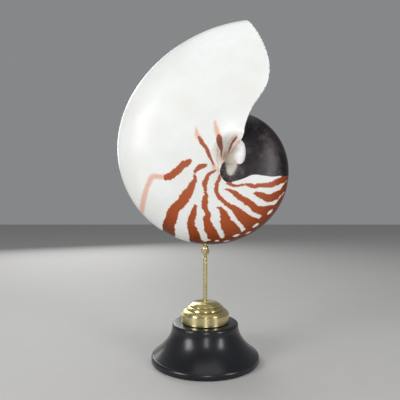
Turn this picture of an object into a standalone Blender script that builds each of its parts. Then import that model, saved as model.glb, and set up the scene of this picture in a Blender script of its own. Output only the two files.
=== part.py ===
"""Half of a nautilus shell, sawn along its middle plane, on a brass rod over a turned black base.

Metres, +Z up. The origin is the middle of the base's underside, on the rod's axis.
The shell is looked at from -Y, and its sawn face looks to +Y.
A turn is an angle about the coiling axis, clockwise from +X as seen from -Y.
An "out" is a distance from the coiling axis, and a "depth" one from the sawn face towards -Y.
"""

import math

import bmesh
import bpy
from mathutils import Vector

MM = 0.001
DEGREE = math.pi / 180
WHOLE_TURN = 2 * math.pi
FITTING_GAP = 0.3 * MM

# The coil and its section
COIL_X = 14.6 * MM
COIL_Z = 144.9 * MM
SAWN_FACE_Y = 5.0 * MM
RADIUS_AT_RIGHT = 46.5 * MM
WHORL_RATIO = 3.016
HALF_WIDTH_SHARE = 0.38
OUTWARD_POWER = 2.4
SIDEWAYS_POWER = 2.2
FLATTENING = 0.09
FLATTEST_TURN = 242.5 * DEGREE
FLATTENED_SPAN = 53.8 * DEGREE
UMBILICUS_SHARE = 0.15
UMBILICUS_DEPTH = 13.0 * MM
UMBILICUS_LEAST_SHARE = 0.34

# The mouth: its edge as (share of the radius, turn), from the outer wall to the umbilicus
MOUTH_EDGE = [
    (0.0, 314 * DEGREE),
    (0.10, 312 * DEGREE),
    (0.17, 301 * DEGREE),
    (0.22, 298 * DEGREE),
    (0.29, 296.9 * DEGREE),
    (0.37, 298.4 * DEGREE),
    (0.45, 298.8 * DEGREE),
    (0.53, 296.7 * DEGREE),
    (0.61, 293.4 * DEGREE),
    (0.70, 289.2 * DEGREE),
    (0.79, 285.2 * DEGREE),
    (0.88, 281.6 * DEGREE),
    (1.0, 277.6 * DEGREE),
]
OUTSIDE_START_TURN = -44 * DEGREE

# The walls and the chambers
WALL_SHARE = 0.016
WALL_LEAST = 0.5 * MM
SEPTUM_SHARE = 0.010
SEPTUM_LEAST = 0.4 * MM
SEPTUM_DISH = 15.5 * DEGREE
LAST_SEPTUM_TURN = 142 * DEGREE
CHAMBER_STEP = 21 * DEGREE
CHAMBER_COUNT = 25
YOUNG_CHAMBER_STEP = 30 * DEGREE
YOUNG_CHAMBER_COUNT = 6
FIRST_CHAMBER_STEP = 75 * DEGREE
INNER_SIDE_LEAST_SHARE = 0.315
OUTER_SIDE_LEAST_SHARE = 0.135
SLOPE_STEP = 0.002
MOUTH_CUTTER_END = 330 * DEGREE
CUTTER_LIFT_START = 304 * DEGREE
CUTTER_LIFT = Vector((1.2, 0.7)) * MM
CUTTER_OVERSHOOT = 0.5 * MM

# How finely each face is divided
SECTION_SHARES = [
    1.0, 0.985, 0.945, 0.88, 0.79, 0.70, 0.61, 0.53, 0.45,
    0.37, 0.29, 0.22, 0.17, 0.125, 0.09, 0.055, 0.025,
]
OUTSIDE_STATIONS = 50
MOUTH_STATIONS = 4
SEPTUM_ACROSS = [0.25, 0.5, 0.75]
SEPTUM_AROUND = [0.15, 0.43, 0.73]
MOUTH_CUTTER_STEPS = 18
HALVED_CHAMBERS = 6

# The callus, a smooth pad that closes the umbilicus
CALLUS_OUT = Vector((6.1, 0.0, 0.7)) * MM
CALLUS_DEPTH = 13.5 * MM
CALLUS_HALF_SIZE = Vector((5.8, 6.5, 12.5)) * MM
CALLUS_LEAN = 26 * DEGREE

# The rod and its nuts
ROD_RADIUS = 1.5 * MM
ROD_FOOT_Z = 12.3 * MM
ROD_TIP_Z = 92.5 * MM
BORE_RADIUS = ROD_RADIUS + FITTING_GAP
NUT_ACROSS_FLATS = 5.5 * MM
NUT_HEIGHT = 3.5 * MM
NUT_TURNED = 12 * DEGREE
LOWER_NUT_Z = 76.5 * MM
SHOULDER_HEIGHT = 2.3 * MM
SHOULDER_FOOT_RADIUS = 2.55 * MM
SHOULDER_TOP_RADIUS = 2.1 * MM
INNER_NUT_Z = 87.9 * MM

# The base, black turned wood
FOOT_RADIUS = 39.0 * MM
FOOT_UNDERSIDE_RADIUS = 38.4 * MM
FOOT_EDGE_LOW_Z = 0.8 * MM
FOOT_EDGE_HIGH_Z = 3.2 * MM
FOOT_TOP_Z = 4.6 * MM
FOOT_TOP_RADIUS = 38.0 * MM
NECK_RADIUS = 24.0 * MM
NECK_TOP_Z = 24.6 * MM
BASE_TOP_Z = 27.0 * MM
BASE_TOP_RADIUS = 22.2 * MM
BASE_SHOULDER_RADIUS = 23.4 * MM
BASE_SHOULDER_Z = 26.3 * MM
FLARE_POWER = 1.9
FLARE_STEPS = 8

# The brass cap between the base and the rod
CAP_FOOT_Z = BASE_TOP_Z + FITTING_GAP
DRUM_RADIUS = 17.3 * MM
DRUM_TOP_Z = 33.5 * MM
LOWER_BEAD_Z = 33.8 * MM
UPPER_BEAD_Z = 36.7 * MM
LOWER_BEAD_RADIUS = 16.9 * MM
UPPER_BEAD_RADIUS = 13.6 * MM
BEAD_STEP_IN = 0.3 * MM
BEAD_SWELL = 0.4 * MM
BEAD_STEPS = 4
CAP_LIP_RADIUS = 11.2 * MM
CAP_LIP_Z = 39.0 * MM
CAP_LIP_TOP_Z = 39.6 * MM
CAP_DISC_RADIUS = 9.1 * MM
CAP_TOP_Z = 41.0 * MM
TURNED_STEPS = 36


def clear_scene():
    for thing in list(bpy.data.objects):
        bpy.data.objects.remove(thing)


def new_collection(name):
    collection = bpy.data.collections.new(name)
    bpy.context.scene.collection.children.link(collection)
    return collection


def material(name, colour, roughness, metallic=0.0):
    made = bpy.data.materials.new(name)
    made.use_nodes = True
    shader = made.node_tree.nodes["Principled BSDF"]
    shader.inputs["Base Color"].default_value = (*colour, 1.0)
    shader.inputs["Roughness"].default_value = roughness
    shader.inputs["Metallic"].default_value = metallic
    return made


def new_object(name, shape, collection, finish=None):
    """Turns a bmesh into an object of the collection."""
    mesh = bpy.data.meshes.new(name)
    shape.to_mesh(mesh)
    shape.free()
    thing = bpy.data.objects.new(name, mesh)
    collection.objects.link(thing)
    if finish:
        mesh.materials.append(finish)
    return thing


def make_cutter(thing):
    thing.hide_render = True
    thing.display_type = "WIRE"


def boolean(thing, other, operation):
    modifier = thing.modifiers.new(other.name, "BOOLEAN")
    modifier.operation = operation
    modifier.solver = "EXACT"
    modifier.object = other


def smooth_step(share):
    held = min(max(share, 0.0), 1.0)
    return held * held * (3 - 2 * held)


def outer_radius(turn):
    """The outer wall's distance from the axis at the sawn face.

    It is an equiangular spiral, flattened over the last chamber.
    """
    off = (turn - FLATTEST_TURN) / FLATTENED_SPAN
    growth = math.log(WHORL_RATIO) / WHOLE_TURN
    return RADIUS_AT_RIGHT * math.exp(growth * turn) * (1 - FLATTENING * math.exp(-off * off))


def section_point(turn, share):
    """(out, depth) of the outside where it is that share of the outer radius from the axis."""
    radius = outer_radius(turn)
    cosine = share ** (OUTWARD_POWER / 2)
    flank = HALF_WIDTH_SHARE * radius * (1 - cosine * cosine) ** (1 / SIDEWAYS_POWER)
    floor = min(UMBILICUS_DEPTH, UMBILICUS_LEAST_SHARE * radius)
    rise = smooth_step(share / UMBILICUS_SHARE)
    return Vector((share * radius, rise * flank + (1 - rise) * floor))


def wall_point(turn, share):
    """The point under the outside's, on the inner side of the wall."""
    here = section_point(turn, share)
    along = section_point(turn, share - SLOPE_STEP) - here
    inward = Vector((-along.y, along.x)).normalized()
    return here + inward * max(WALL_LEAST, WALL_SHARE * outer_radius(turn))


def place(turn, out, depth):
    return Vector((
        COIL_X + out * math.cos(turn),
        SAWN_FACE_Y - depth,
        COIL_Z - out * math.sin(turn),
    ))


def mouth_turn(share):
    """Where the mouth's edge lies, read between the points of MOUTH_EDGE."""
    for (low, low_turn), (high, high_turn) in zip(MOUTH_EDGE, MOUTH_EDGE[1:]):
        if share <= high:
            return low_turn + (high_turn - low_turn) * (share - low) / (high - low)
    return MOUTH_EDGE[-1][1]


def outside_place(column, share):
    """Columns run round the coil to the mouth's edge, then across the mouth back to the first."""
    edge = mouth_turn(share)
    if column <= OUTSIDE_STATIONS:
        turn = OUTSIDE_START_TURN + (edge - OUTSIDE_START_TURN) * column / OUTSIDE_STATIONS
        return place(turn, *section_point(turn, share))
    back = (column - OUTSIDE_STATIONS) / MOUTH_STATIONS
    turn = edge + (OUTSIDE_START_TURN + WHOLE_TURN - edge) * back
    start = section_point(OUTSIDE_START_TURN, share)
    return place(turn, *section_point(edge, share).lerp(start, back))


def filled_coil():
    """The whole coil with no hollows: a sphere whose rings become the rows of the section."""
    columns = OUTSIDE_STATIONS + MOUTH_STATIONS
    rows = len(SECTION_SHARES) + 1
    coil = bmesh.new()
    bmesh.ops.create_uvsphere(coil, u_segments=columns, v_segments=rows, radius=1.0)
    sawn_centre = []
    for vertex in coil.verts:
        row = round(rows * (1 - math.acos(max(-1.0, min(1.0, vertex.co.z))) / math.pi))
        column = round(columns * math.atan2(vertex.co.y, vertex.co.x) / WHOLE_TURN) % columns
        if row == 0:
            sawn_centre.append(vertex)
            vertex.co = place(0.0, 0.0, 0.0)
        elif row == rows:
            vertex.co = place(0.0, 0.0, UMBILICUS_DEPTH)
        else:
            vertex.co = outside_place(column, SECTION_SHARES[row - 1])
    bmesh.ops.dissolve_verts(coil, verts=sawn_centre)
    bmesh.ops.triangulate(coil, faces=[face for face in coil.faces if len(face.verts) == 4])
    bmesh.ops.recalc_face_normals(coil, faces=coil.faces)
    return coil


def divided_box(across, around, along):
    """A box from 0 to 1 each way, its faces divided at the given shares."""
    box = bmesh.new()
    bmesh.ops.create_cube(box, size=1.0)
    bmesh.ops.translate(box, verts=box.verts, vec=(0.5, 0.5, 0.5))
    for axis, shares in enumerate((across, around, along)):
        normal = Vector((0.0, 0.0, 0.0))
        normal[axis] = 1.0
        for share in shares:
            everything = box.verts[:] + box.edges[:] + box.faces[:]
            bmesh.ops.bisect_plane(box, geom=everything, plane_co=normal * share, plane_no=normal)
    return box


def hollow_point(turn, across, around):
    """(out, depth) in a hollow: across 0 is on the whorl inside, around 0 is behind the sawn face."""
    inner_angle = math.acos(INNER_SIDE_LEAST_SHARE ** (OUTWARD_POWER / 2)) * around
    outer_angle = math.acos(OUTER_SIDE_LEAST_SHARE ** (OUTWARD_POWER / 2)) * around
    inner = section_point(turn - WHOLE_TURN, math.cos(inner_angle) ** (2 / OUTWARD_POWER))
    outer = wall_point(turn, math.cos(outer_angle) ** (2 / OUTWARD_POWER))
    past_mouth = (turn - CUTTER_LIFT_START) / (MOUTH_CUTTER_END - CUTTER_LIFT_START)
    inner += CUTTER_LIFT * smooth_step(past_mouth)
    point = inner.lerp(outer, across)
    if around == 0:
        point.y = -CUTTER_OVERSHOOT
    return point


def septum_turn(edge_turn, across, around, side):
    """A septum's face: a dish hollow towards the mouth, half its thickness to the given side."""
    turn = edge_turn - SEPTUM_DISH * 4 * across * (1 - across) * (1 - around * around)
    thickness = max(SEPTUM_LEAST, SEPTUM_SHARE * outer_radius(edge_turn))
    return turn + side * thickness / 2 / hollow_point(turn, across, around).x


def hollow(start_turn, end_turn, steps, end_is_septum=True):
    """One chamber between two septa, or the last one between a septum and the mouth."""
    chamber = divided_box(SEPTUM_ACROSS, SEPTUM_AROUND, [step / steps for step in range(1, steps)])
    for vertex in chamber.verts:
        across, around, along = (round(value, 5) for value in vertex.co)
        start = septum_turn(start_turn, across, around, 1)
        end = septum_turn(end_turn, across, around, -1) if end_is_septum else end_turn
        turn = start + (end - start) * along
        vertex.co = place(turn, *hollow_point(turn, across, around))
    bmesh.ops.triangulate(chamber, faces=chamber.faces)
    bmesh.ops.recalc_face_normals(chamber, faces=chamber.faces)
    return chamber


def add_shape(whole, piece):
    mesh = bpy.data.meshes.new("piece")
    piece.to_mesh(mesh)
    piece.free()
    whole.from_mesh(mesh)
    bpy.data.meshes.remove(mesh)


def closed_chambers():
    """Every chamber behind the open one as one cutter, from the last septum back to the first."""
    whole = bmesh.new()
    steps = [CHAMBER_STEP] * CHAMBER_COUNT
    steps += [YOUNG_CHAMBER_STEP] * YOUNG_CHAMBER_COUNT
    steps.append(FIRST_CHAMBER_STEP)
    end = LAST_SEPTUM_TURN
    for number, step in enumerate(steps):
        add_shape(whole, hollow(end - step, end, 2 if number < HALVED_CHAMBERS else 1))
        end -= step
    return whole


def callus():
    pad = bmesh.new()
    bmesh.ops.create_uvsphere(pad, u_segments=16, v_segments=10, radius=1.0)
    bmesh.ops.scale(pad, verts=pad.verts, vec=CALLUS_HALF_SIZE)
    return pad


def make_shell(parts, cutters, finish):
    shell = new_object("shell_half", filled_coil(), parts, finish)
    open_chamber = hollow(LAST_SEPTUM_TURN, MOUTH_CUTTER_END, MOUTH_CUTTER_STEPS, end_is_septum=False)
    mouth = new_object("mouth", open_chamber, cutters)
    chambers = new_object("chambers", closed_chambers(), cutters)
    pad = new_object("callus", callus(), cutters)
    pad.location = place(0.0, 0.0, CALLUS_DEPTH) + CALLUS_OUT
    pad.rotation_euler.y = CALLUS_LEAN
    bore = new_object("shell_bore", cylinder(BORE_RADIUS, LOWER_NUT_Z, ROD_TIP_Z, 16), cutters)
    boolean(shell, mouth, "DIFFERENCE")
    boolean(shell, pad, "UNION")
    boolean(shell, chambers, "DIFFERENCE")
    boolean(shell, bore, "DIFFERENCE")
    for cutter in (mouth, chambers, pad, bore):
        make_cutter(cutter)


def cylinder(radius, low, high, sides, top_radius=None):
    shape = bmesh.new()
    bmesh.ops.create_cone(
        shape,
        cap_ends=True,
        segments=sides,
        radius1=radius,
        radius2=radius if top_radius is None else top_radius,
        depth=high - low,
    )
    bmesh.ops.translate(shape, verts=shape.verts, vec=(0.0, 0.0, (low + high) / 2))
    return shape


def make_rod(parts, finish):
    new_object("rod", cylinder(ROD_RADIUS, ROD_FOOT_Z, ROD_TIP_Z, 16), parts, finish)


def make_nut(name, foot, shoulder, parts, cutters, finish):
    """A hexagon nut on the rod, with a tapered shoulder above it where one is given."""
    corner_radius = NUT_ACROSS_FLATS / 2 / math.cos(30 * DEGREE)
    nut = new_object(name, cylinder(corner_radius, foot, foot + NUT_HEIGHT, 6), parts, finish)
    nut.rotation_euler.z = NUT_TURNED
    if shoulder:
        sunk = foot + NUT_HEIGHT / 2
        top = foot + NUT_HEIGHT + SHOULDER_HEIGHT
        slope = (SHOULDER_FOOT_RADIUS - SHOULDER_TOP_RADIUS) / SHOULDER_HEIGHT
        foot_radius = SHOULDER_TOP_RADIUS + slope * (top - sunk)
        cone = cylinder(foot_radius, sunk, top, 16, SHOULDER_TOP_RADIUS)
        collar = new_object(name + "_shoulder", cone, cutters)
        boolean(nut, collar, "UNION")
        make_cutter(collar)
    reach = NUT_HEIGHT + SHOULDER_HEIGHT
    bore = new_object(name + "_bore", cylinder(BORE_RADIUS, foot - reach, foot + 2 * reach, 16), cutters)
    boolean(nut, bore, "DIFFERENCE")
    make_cutter(bore)


def turned(name, profile, closed, parts, finish):
    """A turned piece: its outline at +X, down its outer side, carried round the axis by a Screw."""
    outline = bmesh.new()
    points = [outline.verts.new((radius, 0.0, height)) for radius, height in profile]
    for start, end in zip(points, points[1:] + points[:1] if closed else points[1:]):
        outline.edges.new((start, end))
    piece = new_object(name, outline, parts, finish)
    screw = piece.modifiers.new("Turned", "SCREW")
    screw.axis = "Z"
    screw.steps = TURNED_STEPS
    screw.render_steps = TURNED_STEPS
    screw.use_merge_vertices = True
    screw.merge_threshold = 0.01 * MM
    screw.use_smooth_shade = False


def base_profile():
    flare = []
    for step in range(1, FLARE_STEPS + 1):
        share = step / FLARE_STEPS
        radius = NECK_RADIUS + (FOOT_TOP_RADIUS - NECK_RADIUS) * share**FLARE_POWER
        flare.append((radius, NECK_TOP_Z - (NECK_TOP_Z - FOOT_TOP_Z) * share))
    return [
        (0.0, ROD_FOOT_Z - FITTING_GAP),
        (BORE_RADIUS, ROD_FOOT_Z - FITTING_GAP),
        (BORE_RADIUS, BASE_TOP_Z),
        (BASE_TOP_RADIUS, BASE_TOP_Z),
        (BASE_SHOULDER_RADIUS, BASE_SHOULDER_Z),
        (NECK_RADIUS, NECK_TOP_Z),
        *flare,
        (FOOT_RADIUS, FOOT_EDGE_HIGH_Z),
        (FOOT_RADIUS, FOOT_EDGE_LOW_Z),
        (FOOT_UNDERSIDE_RADIUS, 0.0),
        (0.0, 0.0),
    ]


def bead(top_radius, foot_radius, top, foot):
    """A shallow round, swollen out and up between its top edge and its foot."""
    points = []
    for step in range(BEAD_STEPS + 1):
        share = step / BEAD_STEPS
        swell = BEAD_SWELL * 4 * share * (1 - share)
        radius = top_radius + (foot_radius - top_radius) * share
        points.append((radius + swell, top + (foot - top) * share + swell))
    return points


def cap_profile():
    upper_top = CAP_LIP_RADIUS - BEAD_STEP_IN
    lower_top = UPPER_BEAD_RADIUS - BEAD_STEP_IN
    return [
        (BORE_RADIUS, CAP_TOP_Z),
        (CAP_DISC_RADIUS, CAP_TOP_Z),
        (CAP_LIP_RADIUS, CAP_LIP_TOP_Z),
        (CAP_LIP_RADIUS, CAP_LIP_Z),
        *bead(upper_top, UPPER_BEAD_RADIUS, CAP_LIP_Z - BEAD_STEP_IN, UPPER_BEAD_Z),
        *bead(lower_top, LOWER_BEAD_RADIUS, UPPER_BEAD_Z - BEAD_STEP_IN, LOWER_BEAD_Z),
        (LOWER_BEAD_RADIUS, DRUM_TOP_Z),
        (DRUM_RADIUS, DRUM_TOP_Z),
        (DRUM_RADIUS, CAP_FOOT_Z),
        (BORE_RADIUS, CAP_FOOT_Z),
    ]


def main():
    clear_scene()
    parts = new_collection("nautilus_shell_half")
    cutters = new_collection("cutters")
    shell_finish = material("shell", (0.80, 0.78, 0.74), 0.3)
    brass = material("brass", (0.78, 0.68, 0.36), 0.25, 1.0)
    lacquer = material("black_lacquer", (0.008, 0.01, 0.014), 0.1)
    make_shell(parts, cutters, shell_finish)
    make_rod(parts, brass)
    make_nut("lower_nut", LOWER_NUT_Z, True, parts, cutters, brass)
    make_nut("inner_nut", INNER_NUT_Z, False, parts, cutters, brass)
    turned("brass_cap", cap_profile(), True, parts, brass)
    turned("base", base_profile(), False, parts, lacquer)


main()
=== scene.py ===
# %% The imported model
import math

import bmesh
import bpy
import numpy as np
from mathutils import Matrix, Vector


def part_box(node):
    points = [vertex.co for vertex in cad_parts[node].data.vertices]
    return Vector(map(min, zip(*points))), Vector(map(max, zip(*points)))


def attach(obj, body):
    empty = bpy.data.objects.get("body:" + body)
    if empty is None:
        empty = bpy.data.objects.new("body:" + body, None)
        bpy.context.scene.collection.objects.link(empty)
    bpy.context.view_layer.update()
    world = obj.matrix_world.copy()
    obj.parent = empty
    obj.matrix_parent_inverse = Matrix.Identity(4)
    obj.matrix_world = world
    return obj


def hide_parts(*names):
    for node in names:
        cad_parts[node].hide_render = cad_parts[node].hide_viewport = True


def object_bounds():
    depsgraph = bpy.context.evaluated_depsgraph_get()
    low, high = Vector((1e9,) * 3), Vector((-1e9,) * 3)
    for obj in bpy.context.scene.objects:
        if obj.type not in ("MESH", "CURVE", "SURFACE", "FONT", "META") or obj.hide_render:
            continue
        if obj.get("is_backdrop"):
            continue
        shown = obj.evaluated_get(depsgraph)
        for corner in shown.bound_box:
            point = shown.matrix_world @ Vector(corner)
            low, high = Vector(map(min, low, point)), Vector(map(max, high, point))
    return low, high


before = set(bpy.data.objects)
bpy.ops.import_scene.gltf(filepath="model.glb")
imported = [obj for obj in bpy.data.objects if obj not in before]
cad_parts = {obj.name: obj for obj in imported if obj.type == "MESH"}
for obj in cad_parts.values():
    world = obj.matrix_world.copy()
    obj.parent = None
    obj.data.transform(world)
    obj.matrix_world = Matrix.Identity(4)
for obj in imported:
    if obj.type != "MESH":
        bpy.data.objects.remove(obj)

cad_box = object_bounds()
MM = 0.001
DEGREE = math.pi / 180
WHOLE_TURN = 2 * math.pi
print("the object is", [round((high - low) / MM, 1) for low, high in zip(*cad_box)], "mm")

# %% [markdown]
# A nautilus shell is a tube that grows wider as it coils, and this is one half of it, sawn down the
# middle. Its outside is what the viewer sees, and behind, at the sawn face, its chambers stand open.
# Extruding a ring round an axis, a little larger each time, gives a coil too, but not the flatter last
# chamber and the pit in the middle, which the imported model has. So the outside is a sphere whose rings
# are laid on the shell by the same rule as the model's, only finer, and the hollows are cut from it.

# %% Where things are on the coil
COIL_X = 14.6 * MM
COIL_Z = 144.9 * MM
SAWN_FACE_Y = 5.0 * MM
RADIUS_AT_RIGHT = 46.5 * MM
WHORL_RATIO = 3.016
HALF_WIDTH_SHARE = 0.38
OUTWARD_POWER = 2.4
SIDEWAYS_POWER = 2.2
FLATTENING = 0.09
FLATTEST_TURN = 242.5 * DEGREE
FLATTENED_SPAN = 53.8 * DEGREE
UMBILICUS_SHARE = 0.15
UMBILICUS_DEPTH = 13.0 * MM
UMBILICUS_LEAST_SHARE = 0.34
SLOPE_STEP = 0.002
GROWTH = math.log(WHORL_RATIO) / WHOLE_TURN


def smooth_step(share):
    held = min(max(share, 0.0), 1.0)
    return held * held * (3 - 2 * held)


def outer_radius(turn):
    """From the axis to the outer wall, at a turn clockwise from +X as the viewer sees it."""
    off = (turn - FLATTEST_TURN) / FLATTENED_SPAN
    return RADIUS_AT_RIGHT * math.exp(GROWTH * turn) * (1 - FLATTENING * math.exp(-off * off))


def section_point(turn, share):
    """(out, depth) on the outside: from the axis, and from the sawn face, at a share of the radius."""
    radius = outer_radius(turn)
    cosine = share ** (OUTWARD_POWER / 2)
    flank = HALF_WIDTH_SHARE * radius * (1 - cosine * cosine) ** (1 / SIDEWAYS_POWER)
    floor = min(UMBILICUS_DEPTH, UMBILICUS_LEAST_SHARE * radius)
    rise = smooth_step(share / UMBILICUS_SHARE)
    return Vector((share * radius, rise * flank + (1 - rise) * floor))


def under_outside(turn, share, below):
    """The point straight inward from the outside's."""
    here = section_point(turn, share)
    along = section_point(turn, share - SLOPE_STEP) - here
    return here + Vector((-along.y, along.x)).normalized() * below


def place(turn, out, depth):
    return Vector((COIL_X + out * math.cos(turn), SAWN_FACE_Y - depth, COIL_Z - out * math.sin(turn)))


print("the outer wall is", round(outer_radius(180 * DEGREE) / MM, 1), "mm from the axis at the left")

# %% [markdown]
# The mouth's edge isn't straight. It stands back at the outer wall, comes forward at the flank and goes
# in at the umbilicus, where the callus covers its end. Its points are a share of the radius and a turn.

# %% The mouth's edge
MOUTH_EDGE = [
    (0.0, 314), (0.10, 312), (0.17, 301), (0.22, 298), (0.29, 296.9), (0.37, 298.4), (0.45, 298.8),
    (0.53, 296.7), (0.61, 293.4), (0.70, 289.2), (0.79, 285.2), (0.88, 281.6), (1.0, 277.6),
]
OUTSIDE_START_TURN = -44 * DEGREE


def through(points, where):
    """A smooth curve through (where, value) points, read at one place."""
    places = [point[0] for point in points]
    where = min(max(where, places[0]), places[-1])
    after = next((i for i, at in enumerate(places) if at >= where and i > 0), len(places) - 1)
    before = after - 1
    slopes = []
    for index in (before, after):
        low, high = max(index - 1, 0), min(index + 1, len(points) - 1)
        slopes.append((points[high][1] - points[low][1]) / (places[high] - places[low]))
    span = places[after] - places[before]
    t = (where - places[before]) / span
    rise = (2 * t**3 - 3 * t * t + 1) * points[before][1] + (3 * t * t - 2 * t**3) * points[after][1]
    return rise + span * ((t**3 - 2 * t * t + t) * slopes[0] + (t**3 - t * t) * slopes[1])


def mouth_turn(share):
    return through(MOUTH_EDGE, share) * DEGREE


print("the mouth's edge runs from", MOUTH_EDGE[-1][1], "to", MOUTH_EDGE[0][1], "degrees")

# %% [markdown]
# An operator acts on all that is selected, so each step starts by selecting nothing, or one piece alone.
# In edit mode a face or an edge is picked by where it lies, as there is no mouse to pick it with.

# %% Helpers for working as by hand
def deselect_all():
    bpy.ops.object.select_all(action="DESELECT")


def pick(thing):
    deselect_all()
    thing.select_set(True)
    bpy.context.view_layer.objects.active = thing


def name_piece(name):
    """The object just added gets its name, and its place goes into its mesh."""
    piece = bpy.context.active_object
    pick(piece)
    bpy.ops.object.transform_apply(location=True, rotation=True, scale=True)
    piece.name = name
    piece.data.name = name
    return piece


def apply_all(piece):
    pick(piece)
    for modifier in list(piece.modifiers):
        bpy.ops.object.modifier_apply(modifier=modifier.name)


def boolean(piece, other, operation):
    """Cuts or joins at once, and removes the other object."""
    modifier = piece.modifiers.new(other.name, "BOOLEAN")
    modifier.operation = operation
    modifier.solver = "EXACT"
    modifier.object = other
    apply_all(piece)
    bpy.data.objects.remove(other)


def edit_all(piece):
    """Goes into edit mode with the whole piece selected."""
    pick(piece)
    bpy.ops.object.mode_set(mode="EDIT")
    bpy.ops.mesh.select_all(action="SELECT")


def leave_edit():
    bpy.ops.object.mode_set(mode="OBJECT")


def select_only(piece, kind, wanted):
    """In edit mode, selects the edges or the faces that pass the test, and nothing else."""
    bpy.ops.mesh.select_mode(type=kind)
    bpy.ops.mesh.select_all(action="DESELECT")
    shape = bmesh.from_edit_mesh(piece.data)
    for part in shape.faces if kind == "FACE" else shape.edges:
        part.select_set(wanted(part))
    bmesh.update_edit_mesh(piece.data)


def join(pieces):
    deselect_all()
    for piece in pieces:
        piece.select_set(True)
    bpy.context.view_layer.objects.active = pieces[0]
    bpy.ops.object.join()
    return bpy.context.active_object


def recalculate_normals(piece):
    edit_all(piece)
    bpy.ops.mesh.normals_make_consistent(inside=False)
    leave_edit()


# %% [markdown]
# A sphere made of rings and columns already closes on itself, so it needs no seam. Its columns are laid
# round the coil, from where the outside starts to the mouth's edge, and the last few span the mouth.

# %% The filled coil, from a sphere
OUTSIDE_STATIONS = 400
MOUTH_STATIONS = 10
RIM_DEPTH = 2.6 * MM
RIM_AHEAD = 0.25 * DEGREE
RIM_SQUARE_FROM, RIM_SQUARE_SPAN = 0.12, 0.08
SECTION_ROWS = 92
CROWDING = 1.7


def row_share(row):
    """Rows lie closer together near the axis, where the pit curves most."""
    angle = (1 - (1 - row / (SECTION_ROWS + 1)) ** CROWDING) * math.pi / 2
    return math.cos(angle) ** (2 / OUTWARD_POWER)


def outside_place(column, share):
    """Columns run round the coil to the mouth's edge, go in square to its wall, and span the mouth."""
    edge = mouth_turn(share)
    if column <= OUTSIDE_STATIONS:
        turn = OUTSIDE_START_TURN + (edge - OUTSIDE_START_TURN) * column / OUTSIDE_STATIONS
        return place(turn, *section_point(turn, share))
    back = (column - OUTSIDE_STATIONS) / MOUTH_STATIONS
    turn = edge + (OUTSIDE_START_TURN + WHOLE_TURN - edge) * back
    across = section_point(edge, share).lerp(section_point(OUTSIDE_START_TURN, share), back)
    square = smooth_step((share - RIM_SQUARE_FROM) / RIM_SQUARE_SPAN)
    if column == OUTSIDE_STATIONS + 1 and square > 0:
        turn += (edge + RIM_AHEAD - turn) * square
        across = across.lerp(under_outside(edge, share, RIM_DEPTH), square)
        across.y = max(across.y, 0.0)
    return place(turn, *across)


columns = OUTSIDE_STATIONS + MOUTH_STATIONS
rings = SECTION_ROWS + 1
deselect_all()
bpy.ops.mesh.primitive_uv_sphere_add(segments=columns, ring_count=rings, radius=1.0)
shell = name_piece("nautilus_half")
for vertex in shell.data.vertices:
    row = round(rings * (1 - math.acos(max(-1.0, min(1.0, vertex.co.z))) / math.pi))
    column = round(columns * math.atan2(vertex.co.y, vertex.co.x) / WHOLE_TURN) % columns
    if row in (0, rings):
        vertex.co = place(0.0, 0.0, UMBILICUS_DEPTH if row else 0.0)
    else:
        vertex.co = outside_place(column, row_share(row - 1))
print("the filled coil has", len(shell.data.vertices), "points")

# %% [markdown]
# The hollows: one open chamber from the last septum out through the mouth, and behind it the closed
# ones that the animal left as it grew. The coil only turns and grows, so one rule places all of them.
# Each is a cube, divided in edit mode, whose six faces are laid on the whorl inside, the outer wall,
# the two septa, the umbilicus and just behind the sawn face. A Boolean takes them out of the coil.

# %% The rule for a hollow
WALL_SHARE = 0.0125
WALL_LEAST = 0.4 * MM
SEPTUM_SHARE = 0.0075
SEPTUM_LEAST = 0.3 * MM
SEPTUM_DISH = 15.5 * DEGREE
LAST_SEPTUM_TURN = 142 * DEGREE
INNER_SIDE_LEAST_SHARE = 0.315
OUTER_SIDE_LEAST_SHARE = 0.135
MOUTH_CUTTER_END = 330 * DEGREE
CUTTER_LIFT_START = 314 * DEGREE
CUTTER_LIFT = Vector((1.2, 0.7)) * MM
CUTTER_OVERSHOOT = 0.5 * MM


def wall_point(turn, share):
    return under_outside(turn, share, max(WALL_LEAST, WALL_SHARE * outer_radius(turn)))


def hollow_point(turn, across, around):
    """(out, depth) in a hollow: across 0 is on the whorl inside, around 0 is behind the sawn face."""
    inner_angle = math.acos(INNER_SIDE_LEAST_SHARE ** (OUTWARD_POWER / 2)) * around
    outer_angle = math.acos(OUTER_SIDE_LEAST_SHARE ** (OUTWARD_POWER / 2)) * around
    inner = section_point(turn - WHOLE_TURN, math.cos(inner_angle) ** (2 / OUTWARD_POWER))
    outer = wall_point(turn, math.cos(outer_angle) ** (2 / OUTWARD_POWER))
    past_mouth = (turn - CUTTER_LIFT_START) / (MOUTH_CUTTER_END - CUTTER_LIFT_START)
    inner += CUTTER_LIFT * smooth_step(past_mouth)
    point = inner.lerp(outer, across)
    if around == 0:
        point.y = -CUTTER_OVERSHOOT
    return point


def septum_turn(edge_turn, across, around, side):
    """A septum's face: a dish hollow towards the mouth, half its thickness to the given side."""
    turn = edge_turn - SEPTUM_DISH * 4 * across * (1 - across) * (1 - around * around)
    thickness = max(SEPTUM_LEAST, SEPTUM_SHARE * outer_radius(edge_turn))
    return turn + side * thickness / 2 / hollow_point(turn, across, around).x


wall_at_mouth = WALL_SHARE * outer_radius(mouth_turn(1.0))
print("the wall is", round(wall_at_mouth / MM, 2), "mm thick at the mouth")

# %% [markdown]
# A cube with only its eight corners can't follow a coil, so the edges that run each way are selected and
# subdivided. The chambers further in are smaller and seen less, so they have fewer divisions.

# %% Making the hollows
def runs_along(edge, axis):
    run = edge.verts[1].co - edge.verts[0].co
    return abs(run[axis]) > 0.5 * run.length


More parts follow.
